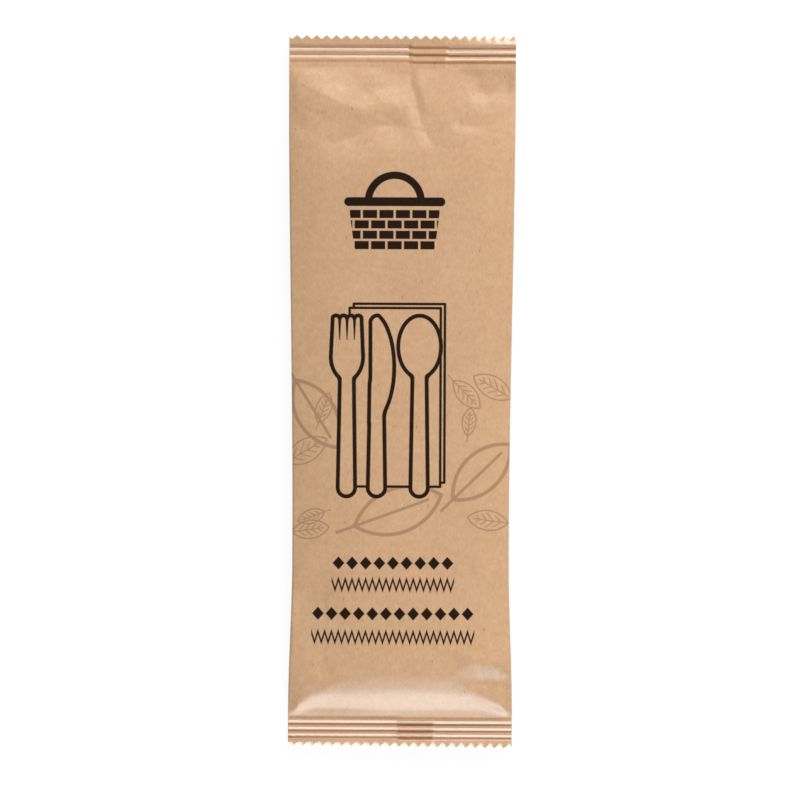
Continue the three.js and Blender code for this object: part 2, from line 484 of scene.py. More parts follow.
@dataclass(frozen=True)
class Cutlery:
    """The figures of a fork, a knife and a spoon, with handles that widen towards their round ends."""

    stencils: Stencils
    top: float = 24.0
    handle_end: float = -30.4
    handle_radius: float = 2.75
    neck_radius: float = 2.15
    shoulder: float = 1.4
    fork_x: float = -17.2
    fork_palm: float = 11.0
    fork_radii: Point = (5.1, 7.4)
    fork_taper: float = 0.045
    fork_neck: float = 8.0
    fork_shoulder: float = 1.2
    tine: float = 2.34
    slot_end: float = 16.4
    slot_radii: Point = (0.5, 0.16)
    knife_x: float = -7.7
    knife_middle: float = 7.6
    knife_radii: Point = (7.6, 17.4)
    knife_tip: float = 2.35
    knife_tip_y: float = 21.7
    knife_heel: float = 7.35
    knife_heel_y: float = -8.0
    knife_neck: float = 2.0
    spoon_x: float = 5.75
    spoon_middle: float = 14.2
    spoon_radii: Point = (6.75, 9.8)
    spoon_neck: float = 10.0

    def draw(self, at: Field) -> tuple[Field, Field]:
        """The distances to the edges of all three, and of the strokes between the fork's tines."""
        fork, slots = self._fork(at)
        return fork.least(self._knife(at), self._spoon(at)), slots

    def _handle(self, at: Field, x: float, neck: float) -> Field:
        """A handle from its neck to its end."""
        return self.stencils.bar(at, (x, neck), (x, self.handle_end), self.neck_radius, self.handle_radius)

    def _fork(self, at: Field) -> tuple[Field, Field]:
        """The fork, with four round tines.

        Args:
            at: Where on the panel.

        Returns:
            The distances to its edge and to the edges of the strokes between its tines.
        """
        x, y, _ = at.vector("SUBTRACT", (self.fork_x, self.fork_palm, 0)).parts()
        across = abs(x)
        half_tine = self.tine / 2
        tip_middle = self.top - self.fork_palm - half_tine
        past = y - tip_middle
        off_tine = abs(abs(across - self.tine) - half_tine)
        tips = vector_of(off_tine, past.most(0.0)).measure("LENGTH") - half_tine + past.least(0.0)
        prongs = (across + y * self.fork_taper - self.fork_radii[0]).most(tips, -y)
        bowl = self.stencils.oval(at, (self.fork_x, self.fork_palm), self.fork_radii)
        handle = self._handle(at, self.fork_x, self.fork_neck)
        fork = prongs.least(bowl).math("SMOOTH_MIN", handle, self.fork_shoulder)
        slot = vector_of(abs(across - half_tine), y)
        slot_ends = (half_tine, tip_middle), (half_tine, self.slot_end - self.fork_palm)
        return fork, self.stencils.bar(slot, *slot_ends, *self.slot_radii)

    def _knife(self, at: Field) -> Field:
        """The knife, with a straight back, a round tip and a curved edge that runs into the handle.

        Args:
            at: Where on the panel.

        Returns:
            The distance to its edge.
        """
        back = self.knife_x - self.neck_radius
        tip, heel = (back + self.knife_tip, self.knife_tip_y), (back + self.knife_heel, self.knife_heel_y)
        x, _, _ = at.parts()
        edge = self.stencils.oval(at, (back, self.knife_middle), self.knife_radii)
        round_tip = self.stencils.bar(at, tip, heel, self.knife_tip, self.knife_heel)
        blade = edge.most(round_tip, -x + back)
        return blade.math("SMOOTH_MIN", self._handle(at, self.knife_x, self.knife_neck), self.shoulder)

    def _spoon(self, at: Field) -> Field:
        """The spoon, with an oval bowl that runs into its handle."""
        bowl = self.stencils.oval(at, (self.spoon_x, self.spoon_middle), self.spoon_radii)
        return bowl.math("SMOOTH_MIN", self._handle(at, self.spoon_x, self.spoon_neck), self.shoulder)


@dataclass(frozen=True)
class Napkin:
    """The figure of a napkin, folded in two layers, behind the cutlery."""

    stencils: Stencils
    stroke: float = 0.84
    left: float = -16.4
    right: float = 12.4
    low: float = -30.0
    high: float = 26.4
    layer: float = 1.3

    def draw(self, at: Field) -> tuple[Field, Field]:
        """Draws the edges of both layers.

        Args:
            at: Where on the panel.

        Returns:
            The distances to the edges of its lines and of the space that it covers.
        """
        left, right, low, high = self.left, self.right, self.low, self.high
        inner_left, outer_right = left + self.layer, right + self.layer
        inner_low, outer_high = low + self.layer, high + self.layer
        upper = [(left, low), (left, high), (right, high), (right, low), (left, low)]
        under = [(inner_left, high), (inner_left, outer_high), (outer_right, outer_high)]
        under += [(outer_right, inner_low), (right, inner_low)]
        runs = [*zip(upper, upper[1:]), *zip(under, under[1:])]
        lines = [self.stencils.bar(at, start, end, self.stroke / 2) for start, end in runs]
        x, y, _ = at.vector("SUBTRACT", ((left + outer_right) / 2, (low + outer_high) / 2, 0)).parts()
        sheet = (abs(x) - (outer_right - left) / 2).most(abs(y) - (outer_high - low) / 2)
        return joined(lines), sheet


@dataclass(frozen=True)
class Basket:
    """The figure of a wicker picnic basket with a lid and a handle."""

    stencils: Stencils
    place: Point = (-2.3, 44.6)
    scale: float = 1.13
    half_width: float = 11.2
    height: float = 11.6
    flare: float = 0.13
    corner: float = 1.6
    course: float = 2.9
    strand: float = 4.6
    half_gap: float = 0.3
    lid_y: float = 13.6
    lid_half_width: float = 12.9
    lid_radius: float = 1.25
    hoop_radius: float = 7.4
    hoop_half: float = 1.05

    def draw(self, at: Field) -> Field:
        """Draws the basket, its strands as bricks with gaps between them.

        Args:
            at: Where on the panel.

        Returns:
            The distance to its edges.
        """
        centred = at.vector("SUBTRACT", (*self.place, 0))
        x, y, _ = centred.vector("DIVIDE", (self.scale, self.scale, 1)).parts()
        tall = abs(y - self.height / 2) - self.height / 2
        body = (abs(x) - y * self.flare - self.half_width).math("SMOOTH_MAX", tall, self.corner)
        odd = (y / self.course).math("FLOOR").math("FLOORED_MODULO", 2.0)
        shifted = x + odd * (self.strand / 2)
        upright = abs(shifted.math("FLOORED_MODULO", self.strand) - self.strand / 2)
        level = abs(y.math("FLOORED_MODULO", self.course) - self.course / 2)
        wicker = body.most(-upright + self.half_gap, level - (self.course / 2 - self.half_gap))
        local = vector_of(x, y)
        lid_ends = (-self.lid_half_width, self.lid_y), (self.lid_half_width, self.lid_y)
        lid = self.stencils.bar(local, *lid_ends, self.lid_radius)
        hoop = abs(local.measure("DISTANCE", (0, self.lid_y, 0)) - self.hoop_radius) - self.hoop_half
        return wicker.least(lid, hoop.most(-y + self.lid_y)) * self.scale


@dataclass(frozen=True)
class OrnamentRow:
    """A row of diamonds over a zigzag line: how many diamonds, and where both lie along the pack."""

    count: int
    diamonds_y: float
    zigzag_y: float


@dataclass(frozen=True)
class Ornament:
    """Rows of diamonds, each over a fine zigzag line."""

    middle: float = -2.4
    pitch: float = 4.3
    half_width: float = 1.9
    half_height: float = 2.1
    zigzag_pitch: float = 2.15
    zigzag_half_height: float = 1.7
    zigzag_line: float = 0.54
    rows: tuple[OrnamentRow, ...] = (OrnamentRow(9, -54.2, -61.0), OrnamentRow(12, -70.2, -77.6))

    def draw(self, at: Field) -> Field:
        """Draws the rows.

        Args:
            at: Where on the panel.

        Returns:
            The distance to their edges.
        """
        x, y, _ = at.vector("SUBTRACT", (self.middle, 0, 0)).parts()
        shapes = []
        for row in self.rows:
            reach = row.count * self.pitch / 2
            ends = abs(x) - reach
            shapes.append(self._diamonds(x + reach, y - row.diamonds_y).most(ends))
            shapes.append(self._zigzag(x, y - row.zigzag_y).most(ends))
        return joined(shapes)

    def _diamonds(self, x: Field, y: Field) -> Field:
        """An endless row of diamonds.

        Args:
            x: How far along the row.
            y: How far above it.

        Returns:
            The distance to their edges.
        """
        off = abs(x.math("FLOORED_MODULO", self.pitch) - self.pitch / 2)
        steps = off / self.half_width + abs(y) / self.half_height - 1.0
        return steps * (self.half_width * self.half_height / math.hypot(self.half_width, self.half_height))

    def _zigzag(self, x: Field, y: Field) -> Field:
        """An endless zigzag line.

        Args:
            x: How far along the line.
            y: How far above it.

        Returns:
            The distance to its edges.
        """
        slope = 4 * self.zigzag_half_height / self.zigzag_pitch
        off = abs(x.math("FLOORED_MODULO", self.zigzag_pitch) - self.zigzag_pitch / 2)
        crest = off * slope - self.zigzag_half_height
        return abs(y - crest) / math.hypot(slope, 1) - self.zigzag_line / 2


@dataclass(frozen=True)
class FrontPrint:
    """The print on the front panel: a cutlery pictogram, a basket, ornament rows and a leaf band."""

    bleed: float = 0.2
    stroke: float = 1.3
    leaves: tuple[Leaf, ...] = (
        Leaf((-33.5, 3.5), -58, 25, LeafKind.BOLD),
        Leaf((-26.2, -10.0), 70, 10, LeafKind.FINE),
        Leaf((-36.5, -22.5), 30, 15, LeafKind.FINE),
        Leaf((-24.0, -38.0), -160, 9, LeafKind.FINE),
        Leaf((-14.5, -42.5), 20, 29, LeafKind.BOLD),
        Leaf((-34.5, -44.5), 8, 12, LeafKind.FINE),
        Leaf((16.5, 3.5), -46, 12, LeafKind.FINE),
        Leaf((35.0, -2.0), 150, 14, LeafKind.FINE),
        Leaf((16.5, -34.0), 44, 25, LeafKind.BOLD),
        Leaf((21.0, -14.0), 84, 9, LeafKind.FINE),
        Leaf((34.0, -41.5), 172, 13, LeafKind.FINE),
    )

    def build(self) -> NodeGroup:
        """Draws the whole print.

        Returns:
            A group that gives the share of black ink and of brown ink at a position.
        """
        group = NodeGroup(
            "front_print",
            {"Position": SocketKind.VECTOR},
            {"Black": SocketKind.NUMBER, "Brown": SocketKind.NUMBER},
        )
        stencils = Stencils()
        at = group.read("Position").vector("MULTIPLY", (1, 1, 0))
        cutlery, slots = Cutlery(stencils).draw(at)
        napkin, sheet = Napkin(stencils).draw(at)
        lines = (abs(cutlery) - self.stroke / 2).least(slots, napkin.most(-cutlery))
        black = lines.least(Basket(stencils).draw(at), Ornament().draw(at))
        leaf_band = joined([stencils.leaf(at, leaf) for leaf in self.leaves])
        group.give("Black", self._inked(black))
        group.give("Brown", self._inked(leaf_band.most(-cutlery, -sheet)))
        return group

    def _inked(self, distance: Field) -> Field:
        """The share of ink at a distance from a drawn edge."""
        return (-distance).within(-self.bleed / 2, self.bleed / 2)


@dataclass(frozen=True)
class Grain:
    """One layer of the paper's mottling.

    It has some patches in each millimetre, octaves of finer noise, a share in the paper's tone, and a
    stretch that says how much closer together the patches are along each axis.
    """

    scale: float
    detail: float
    weight: float
    stretch: Triple = (1, 1, 1)

    def over(self, at: Field) -> Field:
        """Spreads the patches over the paper.

        Args:
            at: Where on the paper, in millimetres.

        Returns:
            The noise, around one half.
        """
        node = at.tree.nodes.new("ShaderNodeTexNoise")
        feed(node.inputs["Vector"], at.vector("MULTIPLY", self.stretch))
        node.inputs["Scale"].default_value = self.scale
        node.inputs["Detail"].default_value = self.detail
        return Field(at.tree, node.outputs["Fac"])


@dataclass(frozen=True)
class Flecks:
    """Short flecks of bark or bleached fibre, scattered over the cells of a pattern.

    The pattern has some cells in each millimetre, drawn out by a stretch. A cell whose random number is
    below the odds holds a fleck of a size, with a core that has the full colour.
    """

    colour: Colour
    stretch: Triple
    scale: float
    size: float
    core: float = 0.4
    odds: Point = (0.45, 0.55)
    cover: float = 0.8

    def over(self, at: Field) -> Field:
        """Scatters the flecks over the paper.

        Args:
            at: Where on the paper, in millimetres.

        Returns:
            The share of their colour.
        """
        node = at.tree.nodes.new("ShaderNodeTexVoronoi")
        feed(node.inputs["Vector"], at.vector("MULTIPLY", self.stretch))
        node.inputs["Scale"].default_value = self.scale
        near = Field(at.tree, node.outputs["Distance"])
        chance, strength, _ = Field(at.tree, node.outputs["Color"]).parts()
        likely, unlikely = self.odds
        shown = (-chance).within(-unlikely, -likely) * strength
        return (-near).within(-self.size, -self.size * self.core) * shown * self.cover


@dataclass(frozen=True)
class KraftFinish:
    """Brown machine-glazed kraft: long fibres, flecks and a soft sheen."""

    light: Colour = paint("ddb287")
    dark: Colour = paint("c99c71")
    cloud: Grain = Grain(0.08, 2, 0.2)
    mottle: Grain = Grain(0.5, 3, 0.35)
    fibre: Grain = Grain(2.6, 2, 0.45, (1, 0.3, 1))
    tone_range: Point = (0.34, 0.66)
    bark: Flecks = Flecks(paint("8e6440"), (1, 0.4, 1), 0.5, 0.14)
    bleached: Flecks = Flecks(paint("e2c29b"), (0.9, 0.5, 1), 0.45, 0.13)
    black_ink: Colour = paint("1a0e05")
    black_cover: float = 0.99
    brown_ink: Colour = paint("aa8059")
    brown_cover: float = 0.9
    # Painted shade for the outer walls of the seal grooves, and painted sheen for the ribs between them
    pressed: Colour = paint("86481e")
    painted_sheen_colour: Colour = paint("fdead4")
    roughness: float = 0.6
    roughness_spread: float = 0.12
    fibre_depth: float = 0.02
    specular: float = 0.1
    glaze_roughness: float = 0.35
    glaze_ior: float = 1.9

    def stock(self) -> NodeGroup:
        """The bare paper.

        Returns:
            A group that gives the paper's colour, roughness and fine relief at a position.
        """
        group = NodeGroup(
            "kraft_stock",
            {"Position": SocketKind.VECTOR},
            {"Colour": SocketKind.COLOUR, "Roughness": SocketKind.NUMBER, "Relief": SocketKind.NUMBER},
        )
        at = group.read("Position")
        cloud, mottle, fibre = (grain.over(at) for grain in (self.cloud, self.mottle, self.fibre))
        tone = cloud * self.cloud.weight + mottle * self.mottle.weight + fibre * self.fibre.weight
        colour = blend(self.dark, self.light, tone.within(*self.tone_range))
        for flecks in (self.bark, self.bleached):
            colour = blend(colour, flecks.colour, flecks.over(at))
        group.give("Colour", colour)
        smoothest = self.roughness - self.roughness_spread / 2
        group.give("Roughness", fibre * self.roughness_spread + smoothest)
        group.give("Relief", fibre * self.fibre_depth)
        return group

    def material(self, name: str, stock: NodeGroup, artwork: NodeGroup | None = None) -> bpy.types.Material:
        """The finish of one panel.

        Args:
            name: The material's name.
            stock: The bare paper.
            artwork: The print on it, if it has any.

        Returns:
            The material.
        """
        material = bpy.data.materials.new(name)
        material.use_nodes = True
        tree = material.node_tree
        shader = tree.nodes["Principled BSDF"]
        place = Field(tree, tree.nodes.new("ShaderNodeTexCoord").outputs["Object"])
        at = place.vector("MULTIPLY", (1 / MM, 1 / MM, 1 / MM))
        paper = stock.place(tree, Position=at)
        # Painted shade in the seal grooves and painted sheen on their ribs, read from the mesh attribute
        marks = tree.nodes.new("ShaderNodeAttribute")
        marks.attribute_name = PAINTED_SHADE_AND_SHEEN
        painted_light = Field(tree, marks.outputs["Fac"])
        dull = painted_light.within(0, 1)
        colour = blend(paper["Colour"], self.pressed, dull)
        colour = blend(colour, self.painted_sheen_colour, (-painted_light).within(0, 1))
        if artwork:
            ink = artwork.place(tree, Position=at)
            colour = blend(colour, self.brown_ink, ink["Brown"] * self.brown_cover)
            colour = blend(colour, self.black_ink, ink["Black"] * self.black_cover)
            dull = dull.most(ink["Black"])
        feed(shader.inputs["Base Color"], colour)
        feed(shader.inputs["Roughness"], paper["Roughness"])
        shader.inputs["Specular IOR Level"].default_value = self.specular
        # The glaze is left off where the painted shade and the black ink lie
        feed(shader.inputs["Coat Weight"], -dull + 1.0)
        shader.inputs["Coat Roughness"].default_value = self.glaze_roughness
        shader.inputs["Coat IOR"].default_value = self.glaze_ior
        bump = tree.nodes.new("ShaderNodeBump")
        bump.inputs["Distance"].default_value = MM
        feed(bump.inputs["Height"], paper["Relief"])
        feed(shader.inputs["Normal"], Field(tree, bump.outputs["Normal"]))
        return material


@dataclass(frozen=True)
class Onset:
    """A change from 0 to 1 that begins at a start and takes a run to finish."""

    start: float
    run: float

    def at(self, value: np.ndarray) -> np.ndarray:
        """How far the change has come at each value."""
        return smooth(value - self.start, self.run)


@dataclass(frozen=True)
class Crease:
    """A fold in the front panel: a line of points with the height that it adds at each.

    The height is positive on a ridge and negative in a valley. It fades out over one reach to the left
    of the line and over another to the right, as seen on the way from its first point to its last.
    The fade is the power of that fall, and the radius rounds the line itself.
    """

    points: tuple[Triple, ...]
    left: float
    right: float
    fade: float = 1.25
    radius: float = 0.0

    def height(self, x: np.ndarray, y: np.ndarray) -> np.ndarray:
        """The height that the fold adds.

        Args:
            x: Places across the pack.
            y: Places along it.

        Returns:
            The added heights.
        """
        nearest = np.full(x.shape, np.inf)
        found = np.zeros(x.shape)
        for (ax, ay, rise), (bx, by, end_rise) in zip(self.points, self.points[1:]):
            run_x, run_y = bx - ax, by - ay
            along = np.clip(((x - ax) * run_x + (y - ay) * run_y) / (run_x**2 + run_y**2), 0, 1)
            off_x, off_y = x - ax - along * run_x, y - ay - along * run_y
            gap = np.hypot(np.hypot(off_x, off_y), self.radius) - self.radius
            reach = np.where(run_x * off_y - run_y * off_x > 0, self.left, self.right)
            added = mix(rise, end_rise, along) * np.clip(1 - gap / reach, 0, 1) ** self.fade
            found = np.where(gap < nearest, added, found)
            nearest = np.minimum(nearest, gap)
        return found


class Panel(Enum):
    """The two sides of the flattened tube, as material slots."""

    FRONT = 0
    BACK = 1


@dataclass(frozen=True)
class SealEnd:
    """One end of the pack, from the zigzag cut inwards.

    The flare is how much wider the pack is here than over its contents, and it is lost over the length of
    the waist. The margin is flat paper inside the grooves, and the paper rises over the length of the ramp.
    The pinch of the grooves is positive where they are narrow between round beads, and negative where
    they are wide between narrow ribs. The fin's grooves and painted shade say how many times as deep and as
    dark they are over the fin seal as beside it. The painted shade darkens each groove's outer wall, and the
    painted sheen lightens each rib.
    """

    side: int
    flare: float
    waist: float
    first_groove: float
    groove_skew: float
    groove_pitch: float
    groove_depths: tuple[float, ...]
    # Painted shade on each groove's outer wall, left and right of the fin, and painted sheen on each rib
    painted_shade_left: tuple[float, ...]
    painted_shade_right: tuple[float, ...]
    painted_sheens: tuple[float, ...]
    pinch_left: float
    pinch_right: float
    fin_grooves: float
    fin_painted_shade: float
    margin: float
    ramp: float
    ramp_power: float
    ramp_ease: float
    crease_zone: float
    tooth_pitch: float
    tooth_tip: float
    cut_slant: float
    fin_root: float


@dataclass
class PaperWrap:
    """The wrap: one sheet of kraft made into a tube, sealed down its back and across both ends."""

    low: Vector
    high: Vector
    # The tube: its width over the contents, its heights and the form of its panels
    body_width: float = 68.6
    seal_level: float = 2.8
    side_level: float = 4.8
    ply: float = 0.12
    fold_radius: float = 0.6
    crown: float = 3.2
    back_flat: float = 46.0
    hip: float = 2.8
    least_share: float = 1e-6
    # The grooves that the sealing jaws press, with their lean as a share of their pitch, and the cut
    groove_count: int = 3
    groove_step: float = 1.2
    groove_lean: float = -0.1
    groove_crisp: float = 0.7
    tooth_depth: float = 1.25
    # The fin seal on the back, and how far it shows through in the end seals
    fin_width: float = 11.2
    fin_thickness: float = 0.36
    fin_drape: float = 9.0
    fin_show: float = 0.16
    fin_edge: float = 0.25
    head: SealEnd = SealEnd(
        side=1,
        flare=3.3,
        waist=150,
        first_groove=4.05,
        groove_skew=0.45,
        groove_pitch=2.33,
        groove_depths=(0.5, 0.54, 0.16),
        # Painted shade per groove, left and right of the fin, and painted sheen per rib
        painted_shade_left=(0.55, 0.52, 0.15),
        painted_shade_right=(0.6, 0.75, 0.6),
        painted_sheens=(0, 0, 0),
        pinch_left=0.3,
        pinch_right=-0.3,
        fin_grooves=0.4,
        fin_painted_shade=1.15,
        margin=0,
        ramp=36,
        ramp_power=1.4,
        ramp_ease=0,
        crease_zone=34,
        tooth_pitch=3.14,
        tooth_tip=1.02,
        cut_slant=0,
        fin_root=2.8,
    )
    foot: SealEnd = SealEnd(
        side=-1,
        flare=2.4,
        waist=50,
        first_groove=3.6,
        groove_skew=-0.2,
        groove_pitch=2.12,
        groove_depths=(0.62, 0.62, 0.62, 0.3),
        # Painted shade per groove, left and right of the fin, and painted sheen per rib
        painted_shade_left=(0.72, 0.8, 0.8, 0.3),
        painted_shade_right=(0.72, 0.8, 0.85, 0.3),
        painted_sheens=(0.6, 0.5, 0.5, 0),
        pinch_left=0.1,
        pinch_right=0.1,
        fin_grooves=1.35,
        fin_painted_shade=1.1,
        margin=0.9,
        ramp=24,
        ramp_power=5,
        ramp_ease=1,
        crease_zone=27,
        tooth_pitch=3.03,
        tooth_tip=-0.4,
        cut_slant=0.012,
        fin_root=-0.7,
    )
    # The corner of the head that is buckled up, and the curl of the foot's cut band, mostly as slopes
    corner_lift: float = 0.14
    corner_fall: float = 0.45
    corner_start: float = 9.0
    corner_run: float = 26.0
    corner_line: float = 95.0
    foot_curl: float = 0.3
    # Where the painted groove shade and painted rib sheen lie, as shares of the grooves' pitch, and what the
    # fin takes from the painted sheen
    painted_shade_lead: float = 0.2
    painted_shade_inner: float = 0.24
    painted_shade_outer: float = 0.44
    painted_sheen_lead: float = 0.4
    painted_sheen_width: float = 0.24
    fin_painted_sheen_loss: float = 0.15
    # Slack paper: its ripple, its facets by size and slope, and where it is slack and firm again
    ripple: float = 0.15
    ripple_length: float = 24.0
    facets: tuple[Point, ...] = ((12.0, 0.055), (5.5, 0.03))
    slack_head: Onset = Onset(70, 22)
    firm_head: Onset = Onset(90, 10)
    firm_head_loss: float = 0.7
    slack_foot: Onset = Onset(50, 16)
    slack_sides: Onset = Onset(15, 11)
    firm_foot: Onset = Onset(94, 4)
    creases: tuple[Crease, ...] = (
        # The valley that runs down from the fin's edge in the head seal, and the bulge left of it
        Crease(
            ((2.4, 104.5, -0.4), (2.7, 98, -0.6), (4.6, 92, -0.6), (5.3, 88.5, -0.35), (6, 84.5, 0)),
            2.4, 10),
        Crease(((4.2, 92.5, 0), (5.9, 85.6, -0.65), (8.4, 80.2, -0.65), (11.8, 75.2, 0)), 9, 3.5),
        Crease(((-9.5, 104, 0.15), (-9.2, 98, 0.3), (-7.5, 92.6, 0.15)), 7, 9),
        # The buckle across the left corner of the head, and small marks in its lower side
        Crease(
            ((-35.3, 98.6, 0.1), (-31, 96.9, 0.5), (-25.9, 94.6, 1), (-20.9, 91.8, 1), (-13.5, 89.1, 0.6)),
            9, 11),
        Crease(((-34.3, 85.1, -0.2), (-30.8, 82.7, -0.45), (-23.4, 84.9, -0.4), (-12.5, 85.6, -0.1)), 6, 4),
        Crease(((-27.8, 86.6, 0), (-25.6, 87.5, -0.25), (-23.4, 88.4, 0)), 1.5, 1.5),
        # The buckle and the hollow before the ends of the contents
        Crease(((-12.5, 89.1, 0.4), (-7.5, 91.1, 0.45), (-0.6, 91.1, 0.3)), 6, 6),
        Crease(
            ((-23.9, 79.7, -0.3), (-21.4, 78.4, -0.7), (-17.4, 79.9, -1.0), (-13.5, 81.2, -1.0),
             (-9.5, 83.9, -0.9), (-2.5, 84.4, -0.8), (1.9, 83.7, -0.4)), 5, 8),
        Crease(((15.3, 85.6, -0.1), (18.3, 84.6, -0.4), (22.3, 83.9, -0.4), (27.7, 83.9, -0.1)), 5, 3),
        Crease(((17.3, 84.6, -0.12), (18.8, 81.2, 0)), 2, 2),
        # The dent in the right corner of the head
        Crease(
            ((19.3, 103.5, -0.3), (22.3, 99.5, -0.55), (26.7, 94.4, -0.65), (30.7, 96.3, -0.7),
             (35.9, 98, -0.7)), 9, 6, radius=0.5),
        # The dent in the right corner of the foot, and the hips
        Crease(((17, -84.6, 0), (24, -85.3, 0.75), (30, -86.3, 1), (35.5, -87.4, 1)), 9, 5.5, radius=1),
        Crease(((17, -92.2, 0), (24, -92.2, -0.9), (30, -91.4, -1.2), (35.5, -90.6, -1.1)), 5, 6, radius=1),
        Crease(((21.8, -94.2, 0.3), (27.2, -96.7, 0.5), (33.7, -100.7, 0.6)), 5, 4),
        Crease(((-20.9, -93.2, 0.1), (-27.8, -95.7, 0.3), (-32.3, -99.2, 0.4), (-35.3, -101.6, 0.3)), 4, 5),
        Crease(((-35.4, -100.1, -0.6), (-32.3, -99.6, 0)), 1.6, 1.6),
        # Soft folds in the lower half
        Crease(((-34.3, -69.4, -0.5), (-29.8, -67.2, -0.5), (-27.3, -62.5, -0.4), (-23.9, -56.5, 0)), 4.5, 8),
        Crease(((-23, -58, -0.2), (-24, -68, -0.9), (-24.5, -84, -1.1), (-25, -93, -0.5)), 22, 12),
        Crease(((34, -56.5, 0.3), (27.7, -58, 0.5), (25.2, -64.9, 0.2), (24.5, -76, 0)), 7, 5),
        Crease(((10.4, -81.3, 0), (17.3, -82, 0.2), (25.2, -84.5, 0.2)), 2.5, 3),
    )
    # How far inside the end seals and the side folds the folds have their full height
    crease_clear: float = 3.0
    crease_side_clear: float = 3.0
    # The mesh
    columns: int = 168
    edge_columns: int = 6
    seal_step: float = 0.16
    crease_step: float = 0.55
    body_step: float = 2.5
    smooth_angle: float = 50.0
    weld: float = 0.002

    def build(self) -> bpy.types.Object:
        """Rolls a flat grid into the sealed tube.

        Returns:
            The finished mesh object, at the origin.
        """
        rows = self._rows()
        across, inset = self._columns()
        ring = 2 * (len(across) - 1)
        bpy.ops.object.select_all(action="DESELECT")
        bpy.ops.mesh.primitive_grid_add(x_subdivisions=ring, y_subdivisions=len(rows) - 1, size=2)
        wrap = bpy.context.object
        wrap.name = wrap.data.name = "paper_wrap"
        flat = np.empty(len(wrap.data.vertices) * 3)
        wrap.data.vertices.foreach_get("co", flat)
        flat = flat.reshape(-1, 3)
        column = np.rint((flat[:, 0] + 1) / 2 * ring).astype(int)
        row = np.rint((flat[:, 1] + 1) / 2 * (len(rows) - 1)).astype(int)
        place = np.where(column < len(across), column, ring - column)
        formed = self._formed(rows, row, across[place], inset[place], column < len(across), place)
        wrap.data.vertices.foreach_set("co", (formed * MM).ravel())
        # The painted shade and painted sheen of the end seals, stored on the mesh for the materials
        marks = wrap.data.attributes.new(PAINTED_SHADE_AND_SHEEN, "FLOAT", "POINT")
        marks.data.foreach_set("value", self._painted_shade_and_sheen(formed[:, 0], rows[row]))
        self._weld()
        self._panels(wrap)
        return wrap

    def dress(self, wrap: bpy.types.Object, finish: KraftFinish) -> None:
        """Gives the front panel its print and the back panel plain paper.

        Args:
            wrap: The wrap's mesh object.
            finish: The paper that it is made of.
        """
        stock = finish.stock()
        artwork = FrontPrint().build()
        wrap.data.materials.append(finish.material("kraft_front", stock, artwork))
        wrap.data.materials.append(finish.material("kraft_back", stock))

    @property
    def half_length(self) -> float:
        """Half the length from tooth tips to tooth tips."""
        return (self.high.y - self.low.y) / 2 / MM

    @property
    def thickness(self) -> float:
        """The thickness over the contents."""
        return self.high.z / MM

    def _seal_length(self, end: SealEnd) -> float:
        """From the tooth tips to where the paper starts to rise over the contents."""
        return end.first_groove + (self.groove_count - 0.5) * end.groove_pitch + end.margin

    @staticmethod
    def _band(end: SealEnd) -> float:
        """From the tooth tips to the start of the first groove."""
        return end.first_groove - end.groove_pitch / 2

    def _past(self, end: SealEnd, y: np.ndarray) -> np.ndarray:
        """How far each place is from the inner edge of an end's seal."""
        return np.maximum(0, self.half_length - end.side * y - self._seal_length(end))

    def _filled(self, y: np.ndarray) -> np.ndarray:
        """How full the tube is: 0 in the end seals and 1 over the contents.

        Args:
            y: Places along the pack.

        Returns:
            The shares.
        """
        filled = np.ones(y.shape)
        for end in (self.head, self.foot):
            share = np.clip(self._past(end, y) / end.ramp, 0, 1)
            eased = 1 + end.ramp_ease * end.ramp_power * share
            filled = np.minimum(filled, 1 - (1 - share) ** end.ramp_power * eased)
        return filled

    def _half_width(self, y: np.ndarray) -> np.ndarray:
        """Half the pack's width: it draws in where the contents fill the tube.

        Args:
            y: Places along the pack.

        Returns:
            The half widths.
        """
        width = self.body_width
        for end in (self.head, self.foot):
            width = width + end.flare * (1 - smooth(self._past(end, y), end.waist))
        return width / 2

    def _hipped(self, along: np.ndarray, across: np.ndarray) -> np.ndarray:
        """The lower of two shares from 0 to 1, with a rounded hip where they cross."""
        shares = [np.maximum(share, self.least_share) ** -self.hip for share in (along, across)]
        return (sum(shares) - 1) ** (-1 / self.hip)

    def _groove_turns(self, end: SealEnd, x: np.ndarray, y: np.ndarray) -> np.ndarray:
        """How many grooves each place lies inside an end's first groove."""
        first = end.first_groove + end.groove_skew * self._right_of_fin(x, y)
        return (self.half_length - end.side * y - first) / end.groove_pitch

    def _right_of_fin(self, x: np.ndarray, y: np.ndarray) -> np.ndarray:
        """0 left of the fin seal and 1 right of its left edge, where the grooves step a little."""
        return smooth(x - self._fin_root(y) + self.groove_step, 2 * self.groove_step)

    def _grooves(self, x: np.ndarray, y: np.ndarray) -> np.ndarray:
        """How deep the sealing jaws press their grooves into the end seals.

        Args:
            x: Places across the pack.
            y: Places along it.

        Returns:
            The depths, below 0.
        """
        height = np.zeros(y.shape)
        right = self._right_of_fin(x, y)
        over_fin = self._over_fin(x, y, self.fin_edge)
        for end in (self.head, self.foot):
            turn = self._groove_turns(end, x, y)
            shown = mix(1, end.fin_grooves, over_fin)
            for groove, depth in enumerate(end.groove_depths):
                off = turn - groove - self.groove_lean
                wave = math.pi * off / (0.5 - np.sign(off) * self.groove_lean)
                wave = wave + mix(end.pinch_left, end.pinch_right, right) * np.sin(wave)
                profile = mix((1 + np.cos(wave)) / 2, 1 - np.abs(wave) / math.pi, self.groove_crisp)
                pressed = np.abs(turn - groove) < 0.5
                height = np.where(pressed, -depth * shown * profile, height)
        return height

